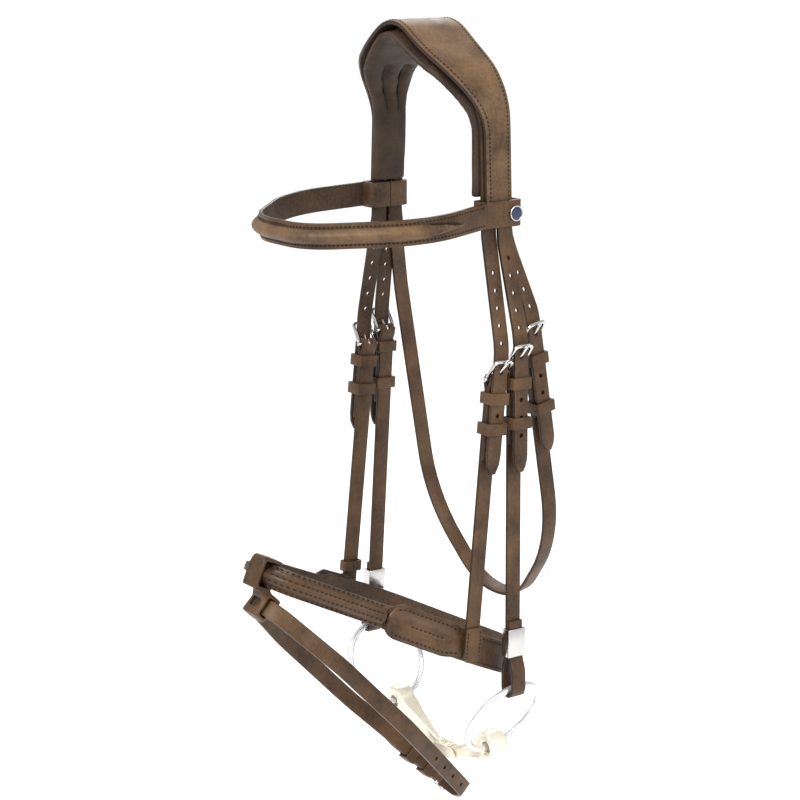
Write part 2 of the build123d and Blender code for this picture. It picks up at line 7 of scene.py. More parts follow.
# %% Load the frame
import json
import math

import bpy
from mathutils import Matrix, Vector


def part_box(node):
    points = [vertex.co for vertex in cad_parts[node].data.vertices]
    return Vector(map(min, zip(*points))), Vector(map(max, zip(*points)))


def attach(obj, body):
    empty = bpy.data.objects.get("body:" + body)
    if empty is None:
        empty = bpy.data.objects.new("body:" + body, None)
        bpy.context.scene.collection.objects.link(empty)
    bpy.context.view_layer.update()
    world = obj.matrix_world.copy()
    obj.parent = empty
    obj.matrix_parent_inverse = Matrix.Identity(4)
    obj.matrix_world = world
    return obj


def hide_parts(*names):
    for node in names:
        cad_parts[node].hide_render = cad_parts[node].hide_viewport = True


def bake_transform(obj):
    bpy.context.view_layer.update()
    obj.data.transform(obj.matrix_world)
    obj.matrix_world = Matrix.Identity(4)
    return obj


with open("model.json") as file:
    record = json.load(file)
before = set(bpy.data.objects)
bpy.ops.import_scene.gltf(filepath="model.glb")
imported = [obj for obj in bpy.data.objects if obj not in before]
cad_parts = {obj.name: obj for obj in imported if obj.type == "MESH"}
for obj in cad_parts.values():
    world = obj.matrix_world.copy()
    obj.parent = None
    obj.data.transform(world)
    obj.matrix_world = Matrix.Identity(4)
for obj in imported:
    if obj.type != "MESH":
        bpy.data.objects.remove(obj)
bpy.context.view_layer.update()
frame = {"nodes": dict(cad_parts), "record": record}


# %% [markdown]
# Leather is never one colour. Dye soaks in unevenly, the grain is a fine pebble, and
# handling polishes the high spots. Two noises of different size mix the colours, a third
# drives the bump, and a fourth makes the wax shine vary. All read Object coordinates,
# so the pattern sits still on the piece. The thread is the same recipe, nearly black.

# %% Leather finish
def wire(tree, source, output, target, socket):
    tree.links.new(source.outputs[output], target.inputs[socket])


def noise_ramp(tree, coords, scale, stops, detail=4.0):
    noise = tree.nodes.new("ShaderNodeTexNoise")
    noise.inputs["Scale"].default_value = scale
    noise.inputs["Detail"].default_value = detail
    wire(tree, coords, "Object", noise, "Vector")
    ramp = tree.nodes.new("ShaderNodeValToRGB")
    for element, (place, colour) in zip(ramp.color_ramp.elements, stops):
        element.position = place
        element.color = (*colour, 1.0)
    wire(tree, noise, "Fac", ramp, "Fac")
    return ramp


def leather(name, dark, light, shine=(0.38, 0.55), grain=900.0, pebble=0.12, wear=0.25):
    material = bpy.data.materials.new(name)
    material.use_nodes = True
    tree = material.node_tree
    shader = tree.nodes["Principled BSDF"]
    coords = tree.nodes.new("ShaderNodeTexCoord")
    body = noise_ramp(tree, coords, 38.0, ((0.3, dark), (0.72, light)))
    darker, lighter = [c * 0.82 for c in dark], [c * 1.12 for c in light]
    streak = noise_ramp(tree, coords, 420.0, ((0.35, darker), (0.75, lighter)))
    mix = tree.nodes.new("ShaderNodeMix")
    mix.data_type = "RGBA"
    mix.inputs["Factor"].default_value = wear
    tree.links.new(body.outputs["Color"], mix.inputs[6])
    tree.links.new(streak.outputs["Color"], mix.inputs[7])
    tree.links.new(mix.outputs[2], shader.inputs["Base Color"])
    low, high = shine
    gloss = noise_ramp(tree, coords, 90.0, ((0.3, (low, low, low)), (0.75, (high, high, high))))
    wire(tree, gloss, "Color", shader, "Roughness")
    pores = tree.nodes.new("ShaderNodeTexVoronoi")
    pores.inputs["Scale"].default_value = grain
    wire(tree, coords, "Object", pores, "Vector")
    creases = tree.nodes.new("ShaderNodeTexNoise")
    creases.inputs["Scale"].default_value = grain * 0.28
    creases.inputs["Detail"].default_value = 6.0
    wire(tree, coords, "Object", creases, "Vector")
    heights = tree.nodes.new("ShaderNodeMath")
    heights.operation = "ADD"
    wire(tree, pores, "Distance", heights, 0)
    wire(tree, creases, "Fac", heights, 1)
    bump = tree.nodes.new("ShaderNodeBump")
    bump.inputs["Strength"].default_value = pebble
    bump.inputs["Distance"].default_value = 0.0006
    wire(tree, heights, "Value", bump, "Height")
    wire(tree, bump, "Normal", shader, "Normal")
    shader.inputs["Specular IOR Level"].default_value = 0.25
    print("leather", name)
    return material


bridle_leather = leather("bridle_leather", (0.026, 0.0122, 0.0050), (0.108, 0.057, 0.0245))
crown_leather = leather("crown_leather", (0.042, 0.022, 0.0100), (0.170, 0.099, 0.0470), shine=(0.42, 0.6))
cut_edge = leather("cut_edge", (0.010, 0.005, 0.0025), (0.040, 0.021, 0.010), shine=(0.3, 0.45), pebble=0.05)
pad_leather = leather("pad_leather", (0.014, 0.0075, 0.0038), (0.052, 0.029, 0.0148), shine=(0.5, 0.68),
                      grain=700.0, pebble=0.25)
flesh_side = leather("flesh_side", (0.020, 0.011, 0.0055), (0.072, 0.041, 0.021), shine=(0.6, 0.8),
                     grain=500.0, pebble=0.35, wear=0.4)


# %% [markdown]
# Polished steel is mostly its surroundings, so its colour is nearly white and only its
# roughness carries the story: a fine smear where fingers and straps rub it. The bit is
# paler and softer than the buckles, and its mouthpiece is a warm, pale gold alloy.

# %% Metal and small finishes
def metal(name, colour, rough, smear=90.0, metallic=1.0):
    material = bpy.data.materials.new(name)
    material.use_nodes = True
    tree = material.node_tree
    shader = tree.nodes["Principled BSDF"]
    shader.inputs["Metallic"].default_value = metallic
    coords = tree.nodes.new("ShaderNodeTexCoord")
    tone = noise_ramp(tree, coords, smear * 2.0, ((0.3, [c * 0.93 for c in colour]), (0.7, colour)))
    wire(tree, tone, "Color", shader, "Base Color")
    low, high = rough
    gloss = noise_ramp(tree, coords, smear, ((0.35, (low, low, low)), (0.7, (high, high, high))))
    wire(tree, gloss, "Color", shader, "Roughness")
    print("metal", name)
    return material


buckle_steel = metal("buckle_steel", (0.60, 0.59, 0.57), (0.10, 0.24))
ring_steel = metal("ring_steel", (0.74, 0.75, 0.78), (0.22, 0.34), metallic=0.75)
mouth_alloy = metal("mouth_alloy", (0.83, 0.77, 0.62), (0.28, 0.4), metallic=0.55)
badge_enamel = metal("badge_enamel", (0.02, 0.028, 0.07), (0.12, 0.2), metallic=0.0)
thread = leather("thread", (0.005, 0.003, 0.002), (0.016, 0.009, 0.005), shine=(0.6, 0.8), grain=1500.0)


# %% [markdown]
# The saddler's bench. A strap starts as a block as long as its path, is divided along its
# length so that it can bend, and has its long edges rounded. A bend is a curve in a flat
# plane: the Curve modifier lays the strap along it, and then the plane is tilted to its
# place on the head. Left of the direction of travel is the outside of the head.

# %% Bench tools
strap_width, strap_thickness = 0.0125, 0.0026
both_sides_finished = (bridle_leather, cut_edge, bridle_leather)


def only(obj):
    if bpy.context.object and bpy.context.object.mode != "OBJECT":
        bpy.ops.object.mode_set(mode="OBJECT")
    bpy.ops.object.select_all(action="DESELECT")
    obj.select_set(True)
    bpy.context.view_layer.objects.active = obj


def apply_all(obj):
    only(obj)
    for modifier in list(obj.modifiers):
        bpy.ops.object.modifier_apply(modifier=modifier.name)


def settle(obj, matrix=None):
    """Puts the piece's place into its mesh, so that its object stays at the origin."""
    only(obj)
    if matrix is not None:
        obj.matrix_world = matrix @ obj.matrix_world
    bpy.ops.object.transform_apply(location=True, rotation=True, scale=True)


def rounded(points, radii, step=0.003):
    """A line through straight runs whose corners are rounded, as many short steps."""
    line = [Vector(points[0])]
    for before, corner, after, radius in zip(points, points[1:], points[2:], radii):
        before, corner, after = Vector(before), Vector(corner), Vector(after)
        into = (before - corner).normalized()
        out = (after - corner).normalized()
        half = into.angle(out) / 2
        reach = min(radius / math.tan(half), (before - corner).length * 0.49, (after - corner).length * 0.49)
        radius = reach * math.tan(half)
        centre = corner + (into + out).normalized() * (radius / math.sin(half))
        start, end = corner + into * reach - centre, corner + out * reach - centre
        sweep = start.angle(end)
        count = max(3, int(sweep * radius / step * 1.5))
        turn = 1 if start.x * end.y - start.y * end.x > 0 else -1
        for i in range(count + 1):
            a = turn * sweep * i / count
            line.append(centre + Vector((start.x * math.cos(a) - start.y * math.sin(a),
                                         start.x * math.sin(a) + start.y * math.cos(a))))
    line.append(Vector(points[-1]))
    return line


def length_of(line):
    return sum((b - a).length for a, b in zip(line, line[1:]))


def shifted(line, distance):
    """The line moved sideways, to its left."""
    moved = []
    for i, point in enumerate(line):
        run = (line[min(i + 1, len(line) - 1)] - line[max(i - 1, 0)]).normalized()
        moved.append(point + Vector((-run.y, run.x)) * distance)
    return moved


def bend_guide(line):
    data = bpy.data.curves.new("guide", "CURVE")
    data.dimensions = "3D"
    data.twist_mode = "Z_UP"
    spline = data.splines.new("POLY")
    spline.points.add(len(line) - 1)
    for target, point in zip(spline.points, line):
        target.co = (point.x, point.y, 0, 1)
    guide = bpy.data.objects.new("guide", data)
    bpy.context.collection.objects.link(guide)
    return guide


def bend(obj, line):
    guide = bend_guide(line)
    only(obj)
    modifier = obj.modifiers.new("bend", "CURVE")
    modifier.object = guide
    modifier.deform_axis = "POS_X"
    bpy.ops.object.modifier_apply(modifier="bend")
    bpy.data.objects.remove(guide)


def paint(obj, *materials):
    obj.data.materials.clear()
    for material in materials:
        obj.data.materials.append(material)


def flat_strap(name, length, width, thickness, edge=0.0008, crown=0.0, across=1, outline=None, step=0.004,
               start=0.0, materials=None):
    """A strap lying flat: x along it, y out of its face, z across. crown swells the outer face."""
    bpy.ops.object.select_all(action="DESELECT")
    bpy.ops.mesh.primitive_cube_add(size=1, location=(start + length / 2, 0, 0),
                                    scale=(length, thickness, width))
    obj = bpy.context.object
    obj.name = name
    settle(obj)
    for axis, cuts, reach in ((0, int(length / step), length), (2, across, width)):
        if cuts < 1:
            continue
        bpy.ops.object.mode_set(mode="EDIT")
        bpy.ops.mesh.select_mode(type="EDGE")
        bpy.ops.mesh.select_all(action="DESELECT")
        bpy.ops.object.mode_set(mode="OBJECT")
        for e in obj.data.edges:
            a, b = (obj.data.vertices[i].co for i in e.vertices)
            e.select = abs(a[axis] - b[axis]) > reach * 0.9
        bpy.ops.object.mode_set(mode="EDIT")
        bpy.ops.mesh.subdivide(number_cuts=cuts)
        bpy.ops.object.mode_set(mode="OBJECT")
    for vertex in obj.data.vertices:
        share = vertex.co.z / (width / 2)
        if vertex.co.y > 0:
            vertex.co.y += crown * (1 - share ** 2)
        if outline:
            low, high = outline(vertex.co.x)
            vertex.co.z = (low + high) / 2 + share * (high - low) / 2
    sides = [abs(p.normal.y) < 0.5 for p in obj.data.polygons]
    top, side, back = materials or (bridle_leather, cut_edge, flesh_side)
    paint(obj, top, side, back)
    for polygon, is_side in zip(obj.data.polygons, sides):
        polygon.material_index = 1 if is_side else (2 if polygon.normal.y < 0 else 0)
    if edge:
        bevel = obj.modifiers.new("edge", "BEVEL")
        bevel.width = edge
        bevel.segments = 2
        bevel.limit_method = "ANGLE"
        bevel.angle_limit = math.radians(50)
        apply_all(obj)
    return obj


def punch(obj, places, radius=0.0017):
    """Punches round holes through a flat strap."""
    for x, z in places:
        bpy.ops.object.select_all(action="DESELECT")
        bpy.ops.mesh.primitive_cylinder_add(vertices=16, radius=radius, depth=0.02, location=(x, 0, z),
                                            rotation=(math.radians(90), 0, 0))
        plug = bpy.context.object
        only(obj)
        modifier = obj.modifiers.new("hole", "BOOLEAN")
        modifier.object = plug
        modifier.solver = "EXACT"
        bpy.ops.object.modifier_apply(modifier="hole")
        bpy.data.objects.remove(plug)


def stitch_row(name, start, length, z, y, pitch=0.0029):
    """One stitch, shaped like a grain of rice, repeated along the strap."""
    bpy.ops.object.select_all(action="DESELECT")
    bpy.ops.mesh.primitive_ico_sphere_add(subdivisions=1, radius=0.5, location=(start + pitch / 2, y, z),
                                          scale=(pitch * 0.68, 0.0009, 0.0012))
    row = bpy.context.object
    row.name = name
    settle(row)
    array = row.modifiers.new("row", "ARRAY")
    array.use_relative_offset = False
    array.use_constant_offset = True
    array.constant_offset_displace = (pitch, 0, 0)
    array.count = max(1, int(length / pitch))
    apply_all(row)
    paint(row, thread)
    return row


def join(name, pieces):
    only(pieces[0])
    for piece in pieces:
        piece.select_set(True)
    bpy.ops.object.join()
    pieces[0].name = name
    return pieces[0]


def soften(obj, degrees=40):
    only(obj)
    bpy.ops.object.shade_smooth_by_angle(angle=math.radians(degrees))


def to_place(obj, line=None, matrix=None):
    if line:
        bend(obj, line)
    settle(obj, matrix)
    soften(obj)
    return obj


def plane(origin, x, y):
    """The matrix of a tilted plane: x and y lie in it, z stands on it. Origin in metres."""
    x, y = Vector(x).normalized(), Vector(y).normalized()
    z = x.cross(y)
    matrix = Matrix((x, y, z)).transposed().to_4x4()
    matrix.translation = Vector(origin)
    return matrix


def mm(*values):
    return tuple(v / 1000 for v in values)


print("bench ready")

# %% [markdown]
# The headpiece follows one arch over the poll: two sides leaning out a little, two sloping
# runs and a small round at the top. Every layer is the same arch, a little further out:
# first the pad, then the two thin straps, then the broad crown leather on top.

# %% The arch over the poll
side_half = 0.052
apex_z = 0.003
arch_radii = [0.042, 0.015, 0.042]
lean_out = math.tan(math.radians(2.5))
corner_z = apex_z - side_half * math.tan(math.radians(36))


def arch_at(distance, foot):
    """The arch seen from the front, from the far foot over the poll to the near foot."""
    foot_x = side_half + (corner_z - foot) * lean_out
    corners = [(-foot_x, foot), (-side_half, corner_z), (0, apex_z), (side_half, corner_z), (foot_x, foot)]
    base = rounded(corners, arch_radii)
    return shifted(base, distance)


front_view = plane((0, 0, 0), (1, 0, 0), (0, 0, 1))      # its z points to the front


def across_at(z, pairs):
    """Value at height z, on straight runs between (height, value) pairs given from the top down."""
    if z >= pairs[0][0]:
        return pairs[0][1]
    for (z0, v0), (z1, v1) in zip(pairs, pairs[1:]):
        if z >= z1:
            return v0 + (v1 - v0) * (z0 - z) / (z0 - z1)
    return pairs[-1][1]


def smooth_across(z, pairs, reach=0.012):
    """The same, with its corners rounded by averaging."""
    return sum(across_at(z + reach * k / 4, pairs) for k in range(-4, 5)) / 9


def heights_along(line):
    """For each distance along a line, the height there."""
    table = [(0.0, line[0].y)]
    for a, b in zip(line, line[1:]):
        table.append((table[-1][0] + (b - a).length, b.y))

    def at(x):
        for (s0, z0), (s1, z1) in zip(table, table[1:]):
            if x <= s1:
                return z0 + (z1 - z0) * (x - s0) / max(s1 - s0, 1e-9)
        return table[-1][1]
    return at


front_edge = [(-0.008, -0.028), (-0.052, 0.004)]
rear_edge = [(-0.008, 0.025), (-0.052, 0.027)]


def headpiece_outline(line, grow, grow_front=None):
    """Cut line of a headpiece layer: broad over the poll, narrow down the sides."""
    height = heights_along(line)
    lead = grow if grow_front is None else grow_front

    def limits(x):
        z = height(x)
        return -smooth_across(z, rear_edge) - grow, -smooth_across(z, front_edge) + lead
    return limits


print("arch length", round(length_of(arch_at(0, -0.136)), 3))

# %% [markdown]
# The pad is soft leather over foam. Foam is at its fullest between its seams, so the pad
# is cut slightly small and let swell under pressure, as cloth, and the two long channels
# seen from inside are pressed in afterwards, where the seams pull it flat.

# %% Headpiece pad
pad_line = arch_at(0.0036, -0.1085)


def puffed(name, obj, cap, pressure=4.0):
    """Swells a closed shape as padding does, holding every point within cap of where it was."""
    only(obj)
    before = [v.co.copy() for v in obj.data.vertices]
    cloth = obj.modifiers.new("swell", "CLOTH")
    cloth.settings.use_pressure = True
    cloth.settings.uniform_pressure_force = pressure
    cloth.settings.effector_weights.gravity = 0.0
    cloth.point_cache.frame_end = 20
    for number in range(1, 21):
        bpy.context.scene.frame_set(number)
    only(obj)
    bpy.ops.object.modifier_apply(modifier="swell")
    for vertex, old in zip(obj.data.vertices, before):
        move = vertex.co - old
        if move.length > cap:
            vertex.co = old + move.normalized() * cap
    bpy.context.scene.frame_set(1)
    obj.name = name
    print(name, "padded", len(obj.data.vertices), "points")
    return obj


def remeshed(obj, voxel):
    only(obj)
    modifier = obj.modifiers.new("skin", "REMESH")
    modifier.mode = "VOXEL"
    modifier.voxel_size = voxel
    bpy.ops.object.modifier_apply(modifier="skin")
    return obj


pad = flat_strap("headpiece_pad_soft", length_of(pad_line), 0.03, 0.0058, edge=0, across=11,
                 outline=headpiece_outline(pad_line, 0.0016, 0.0050), materials=(pad_leather,) * 3)
for vertex in pad.data.vertices:
    low, high = headpiece_outline(pad_line, 0.0016, 0.0050)(vertex.co.x)
    share = (vertex.co.z - (low + high) / 2) / ((high - low) / 2)
    vertex.co.y *= 0.55 + 0.45 * math.sqrt(max(0.0, 1 - share ** 4))
bend(pad, pad_line)
settle(pad, front_view)
remeshed(pad, 0.0017)
puffed("headpiece_pad_soft", pad, 0.0012)

# %% Press the two channels into the pad
inner_line = arch_at(0.0, -0.1085)


def channel_depth(y, z):
    low = smooth_across(z, rear_edge)
    high = smooth_across(z, front_edge)
    share = (y - (low + high) / 2) / ((low - high) / 2)
    return sum(math.exp(-((share - place) / 0.15) ** 2) for place in (-0.42, 0.42))


for vertex in pad.data.vertices:
    co = vertex.co
    nearest = min(inner_line, key=lambda p: (p.x - co.x) ** 2 + (p.y - co.z) ** 2)
    away = Vector((co.x - nearest.x, 0, co.z - nearest.y))
    if away.length < 0.0045:
        outward = Vector((co.x, 0, co.z + 0.055)).normalized()
        vertex.co += outward * 0.0036 * channel_depth(co.y, co.z) * max(0, 1 - away.length / 0.0045)
smoothing = pad.modifiers.new("ease", "SMOOTH")
smoothing.factor = 0.5
smoothing.iterations = 2
apply_all(pad)
paint(pad, pad_leather)
only(pad)
bpy.ops.object.shade_smooth()
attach(pad, "headpiece")
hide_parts("headpiece_pad")
print("pad faces", len(pad.data.polygons))


# %% Seams at the bottom of the channels
def seam(place):
    line = arch_at(0.0022, -0.107)
    limits = headpiece_outline(line, 0.0)
    cord = flat_strap("channel_seam", length_of(line), 0.0016, 0.0009, edge=0, materials=(thread,) * 3)
    for vertex in cord.data.vertices:
        low, high = limits(vertex.co.x)
        vertex.co.z += (low + high) / 2 - place * (high - low) / 2
    return to_place(cord, line, front_view)


seams = join("channel_seams", [seam(-0.42), seam(0.42)])
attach(seams, "headpiece")

# %% [markdown]
# The crown is one broad piece of tan leather with a row of stitches inside each edge. It
# is cut with the pad's outline, bevelled, stitched flat, and bent over last.

# %% Crown leather
def along_edge(row, limits, side, inset):
    """Moves a straight stitch row out to the strap's edge, an even inset inside it."""
    for vertex in row.data.vertices:
        low, high = limits(vertex.co.x)
        vertex.co.z += (high - inset) if side > 0 else (low + inset)
    return row


crown_line = arch_at(0.0122, -0.130)
crown_limits = headpiece_outline(crown_line, 0.0)
crown = flat_strap("crown", length_of(crown_line), 0.03, 0.0032, edge=0.0009, across=7, crown=0.0006,
                   outline=crown_limits, materials=(crown_leather, cut_edge, flesh_side))
crown_rows = []
for side in (-1, 1):
    row = stitch_row("crown_row", 0.002, length_of(crown_line) - 0.004, 0, 0.0020)
    crown_rows.append(along_edge(row, crown_limits, side, 0.0032))
crown_stitches = join("crown_stitches", crown_rows)
for piece in (crown, crown_stitches):
    to_place(piece, crown_line, front_view)
    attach(piece, "headpiece")
print("crown stitches", len(crown_stitches.data.polygons) // 20)

# %% [markdown]
# Below the browband the headpiece divides into straps with holes, the billets. Each is one
# real strap that runs through its buckle to a point. Just above the buckle the leather
# bends when the lower part swings; the piece's path follows the headpiece above that line
# and the hanging set's direction below it.

# %% Hanging sets: where each buckle bar is, and which way its straps hang
def hanging(bar, splay, lean):
    tilt = Matrix.Rotation(math.radians(-lean), 4, "X") @ Matrix.Rotation(math.radians(-splay), 4, "Y")
    return Matrix.Translation(Vector(mm(*bar))) @ tilt


cheek_set = hanging((77.5, 24.5, -227.0), 2.5, 1.5)
hanger_set = hanging((76.4, 6.0, -236.0), 0.5, 5.6)
throat_set = hanging((72.0, 43.0, -213.0), 0.0, -10.0)
flex_height = 0.01897
billet_face = 0.00605


def down_the_set(matrix):
    """A plane whose x runs down the straps from the bar and whose y faces outwards."""
    out = matrix.to_3x3() @ Vector((1, 0, 0))
    up = matrix.to_3x3() @ Vector((0, 0, 1))
    return plane(matrix.translation, -up, out)


def billet_points(matrix, tip):
    """Two places on a billet: its flex line and its point, each with its y."""
    flex = matrix @ Vector((billet_face, 0, flex_height))
    end = matrix @ Vector((billet_face, 0, -tip))
    return flex, end


def far_copy(obj, name):
    """The mirror image for the far side, with its faces turned the right way out again."""
    data = obj.data.copy()
    copy = bpy.data.objects.new(name, data)
    bpy.context.collection.objects.link(copy)
    only(copy)
    copy.matrix_world = Matrix.Scale(-1, 4, (1, 0, 0))
    bpy.ops.object.transform_apply(location=True, rotation=True, scale=True)
    if inside_out(data):
        data.flip_normals()
    return copy


def inside_out(data):
    """Whether a closed mesh's faces point inwards, from the sign of its volume."""
    volume = 0.0
    for polygon in data.polygons:
        volume += polygon.center.dot(polygon.normal) * polygon.area
    return volume < 0


def shift_across(obj, pairs):
    """Moves a strap sideways by height, where it drifts forwards or back on its way down."""
    for vertex in obj.data.vertices:
        vertex.co.y += smooth_across(vertex.co.z, pairs)
    return obj


def pointed(length, half=0.00625, shoulder=0.010, point=0.0022):
    def limits(x):
        left = max(0.0, length - x)
        reach = point + (half - point) * min(1.0, left / shoulder) ** 0.6
        return -reach, reach
    return limits


# %% Cheek billets
def billet(name, line, drift, flex_at, holes_up, holes_down, thickness=0.0027):
    length = length_of(line)
    strap = flat_strap(name, length, 0.0125, thickness, edge=0.0006, outline=pointed(length))
    places = [(flex_at - 0.008 - 0.0125 * i, 0) for i in range(holes_up)]
    places += [(flex_at + flex_height - 0.006, 0)]
    places += [(flex_at + flex_height + 0.012 + 0.013 * (i + 1), 0) for i in range(holes_down)]
    punch(strap, places)
    to_place(strap, line, front_view)
    return shift_across(strap, drift)


crown_side_x = side_half + (corner_z + 0.136) * lean_out + 0.0122
flex, end = billet_points(cheek_set, 0.078)
cheek_line = rounded([(crown_side_x - 0.0006, -0.126), (crown_side_x, -0.140), (flex.x, flex.z),
                      (end.x, end.z)], [0.03, 0.08])
cheek_flex_at = 0.014 + math.dist((crown_side_x, -0.140), (flex.x, flex.z))
cheek_drift = [(-0.136, 0.0205), (flex.z, flex.y), (end.z, end.y)]
cheek_billet = billet("cheek_billet_near", cheek_line, cheek_drift, cheek_flex_at, 5, 3)
cheek_billet_far = far_copy(cheek_billet, "cheek_billet_far")
for piece in (cheek_billet, cheek_billet_far):
    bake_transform(piece)
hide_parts("headpiece_leather", "cheek_billet_tip_near", "cheek_billet_tip_far")
print("cheek billets hang to", round(end.z, 3))


# %% Noseband headstrap, from far point over the poll to near point
def over_the_poll(distance, near_points, far_points):
    foot_x = side_half + (corner_z + 0.136) * lean_out
    top = shifted(rounded([(-foot_x, -0.136), (-side_half, corner_z), (0, apex_z), (side_half, corner_z),
                           (foot_x, -0.136)], arch_radii), distance)
    return [Vector((-x, z)) for x, z in reversed(far_points)] + top + [Vector(p) for p in near_points]


flex, end = billet_points(hanger_set, 0.068)
legs = [(flex.x - 0.0004, flex.z + 0.006), (flex.x, flex.z), (end.x, end.z)]
nose_line = over_the_poll(0.0087, legs, legs)
nose_length = length_of(nose_line)
tail_length = math.dist((flex.x, flex.z), (end.x, end.z))


def two_points(length):
    tip = pointed(length)

    def limits(x):
        return tip(max(x, length - x))
    return limits


headstrap = flat_strap("noseband_headstrap_long", nose_length, strap_width, strap_thickness, edge=0.0006,
                       outline=two_points(nose_length))
places = []
for end_sign in (0, 1):
    for offset in [-0.008 - 0.0125 * i for i in range(5)] + [flex_height - 0.006, flex_height + 0.025,
                                                            flex_height + 0.038]:
        x = nose_length - tail_length + offset
        places.append((x if end_sign else nose_length - x, 0))
punch(headstrap, places)
to_place(headstrap, nose_line, front_view)
shift_across(headstrap, [(-0.008, -0.010), (-0.052, 0.009), (-0.136, 0.009), (flex.z, flex.y),
                         (end.z, end.y)])
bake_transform(headstrap)
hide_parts("noseband_headstrap", "noseband_billet_tip_near", "noseband_billet_tip_far")
print("noseband headstrap", round(nose_length, 3), "m long")

# %% Throatlatch: the headstrap, and the long strap under the throat
flex, end = billet_points(throat_set, 0.084)
near_legs = [(flex.x - 0.0002, flex.z + 0.006), (flex.x, flex.z), (end.x, end.z)]
far_legs = [(side_half + (corner_z + 0.150) * lean_out + 0.0087, -0.150)]
throat_top_line = over_the_poll(0.0087, near_legs, far_legs)
throat_top_length = length_of(throat_top_line)
throat_top = flat_strap("throatlatch_headstrap_long", throat_top_length, strap_width, strap_thickness,
                        edge=0.0006, outline=pointed(throat_top_length))
tail_length = math.dist((flex.x, flex.z), (end.x, end.z))
punch(throat_top, [(throat_top_length - tail_length + offset, 0)
                   for offset in (-0.008, -0.0205, -0.033, flex_height - 0.006, flex_height + 0.025,
                                  flex_height + 0.038, flex_height + 0.051)])
to_place(throat_top, throat_top_line, front_view)
shift_across(throat_top, [(-0.008, 0.010), (-0.052, 0.0235), (-0.136, 0.0235), (flex.z, flex.y),
                          (end.z, end.y)])
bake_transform(throat_top)
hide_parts("throatlatch_headstrap", "throatlatch_billet_tip")

lean = math.radians(10)
throat_plane = plane(mm(72, 43, -213), (1, 0, 0), (0, math.sin(lean), -math.cos(lean)))
depth = 0.217 / math.cos(lean)
turn = depth * 0.72
far_x = -0.144 - billet_face
middle = (-0.0013 + far_x) / 2
bar_fold = [(0.058, 0.0013), (0.007, 0.0013), (0.002, 0.00315), (-0.00315, 0.00315), (-0.00315, -0.00315),
            (0.002, -0.00315), (0.007, -0.0013)]
fold_radii = [0.004, 0.003, 0.0031, 0.0031, 0.003, 0.004]
throat_points = [(y, x) for x, y in bar_fold]
throat_points += [(-0.0013, turn), (middle + 0.024, depth), (middle - 0.024, depth), (far_x, turn),
                  (far_x, -flex_height), (-0.0807 - side_half - (corner_z + 0.134) * lean_out, -0.080)]
throat_line = rounded(throat_points, fold_radii + [0.110, 0.046, 0.046, 0.110, 0.04])
throat_line.reverse()
throat_strap = flat_strap("throatlatch_strap_long", length_of(throat_line), strap_width, strap_thickness,
                          edge=0.0006, materials=both_sides_finished)
to_place(throat_strap, throat_line, throat_plane)
for vertex in throat_strap.data.vertices:
    if vertex.co.x < 0 and vertex.co.z > flex.z:
        straight = 0.043 - (vertex.co.z + 0.213) * math.tan(lean)
        wanted = across_at(vertex.co.z, [(-0.136, 0.0235), (flex.z, flex.y)])
        vertex.co.y += wanted - straight
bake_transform(throat_strap)
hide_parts("throatlatch_strap")
print("throatlatch strap", round(length_of(throat_line), 3), "m long")

# %% [markdown]
# A cheekpiece is one long strap: its top end is turned round the buckle bar and stitched
# down, and its bottom end goes round the bit ring and back up into a steel clip. The
# hanger of the noseband starts the same way and ends as a flap sewn on the noseband.

# %% Cheekpieces
ring_loop = [(0.216, -0.0013), (0.228, -0.0055), (0.2475, -0.0055), (0.2475, 0.0055), (0.228, 0.0055),
             (0.216, 0.0013), (0.190, 0.0013)]
cheek_path = rounded(bar_fold + ring_loop, fold_radii + [0.02, 0.02, 0.0054, 0.0054, 0.02, 0.02], step=0.002)


def turned_end_rows(name, width=strap_width, until=0.056, face=0.0028):
    """Stitch rows down both edges of the turned end, on its outer face."""
    return [stitch_row(name, 0.012, until - 0.012, side * (width / 2 - 0.0021), face) for side in (-1, 1)]


def cheek_side():
    strap = flat_strap("cheek_strap", length_of(cheek_path), strap_width, strap_thickness, edge=0.0006,
                       step=0.0025, materials=both_sides_finished)
    slot_at = 0.058 - 0.0015 + 0.004
    punch(strap, [(slot_at + 0.0015 * i, 0) for i in range(-2, 5)], radius=0.0021)
    bend(strap, cheek_path)
    rows = join("rows", turned_end_rows("rows"))
    piece = join("cheek_strap", [strap, rows])
    return to_place(piece, None, down_the_set(cheek_set))


cheek_strap = cheek_side()
cheek_strap.name = "cheek_strap_near"
for piece, node in ((cheek_strap, "cheekpiece_near"),
                    (far_copy(cheek_strap, "cheek_strap_far"), "cheekpiece_far")):
    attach(piece, "cheeks")
    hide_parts(node)
print("cheekpiece strap", round(length_of(cheek_path), 3), "m long")

# %% Noseband hangers
hanger_end = 0.2065
hanger_path = rounded(bar_fold + [(hanger_end, -0.0013)], fold_radii, step=0.002)
hanger = flat_strap("hanger_strap_near", length_of(hanger_path), strap_width, strap_thickness, edge=0.0006,
                    step=0.0025, materials=both_sides_finished)
punch(hanger, [(0.0605 + 0.0015 * i, 0) for i in range(-2, 5)], radius=0.0021)
bend(hanger, hanger_path)
hanger_rows = turned_end_rows("hanger_rows")
patch = flat_strap("hanger_patch", 0.026, 0.0150, 0.0018, edge=0.0006, start=hanger_end - 0.0235, step=0.0015,
                   outline=lambda x: pointed(hanger_end + 0.0025, 0.0075, 0.006, 0.0050)(x))
patch.data.transform(Matrix.Translation((0, 0.0008, 0)))
for side in (-1, 1):
    hanger_rows.append(stitch_row("patch_row", hanger_end - 0.021, 0.021, side * 0.0058, 0.0018))
hanger = join("hanger_strap_near", [hanger, patch] + hanger_rows)
to_place(hanger, None, down_the_set(hanger_set))
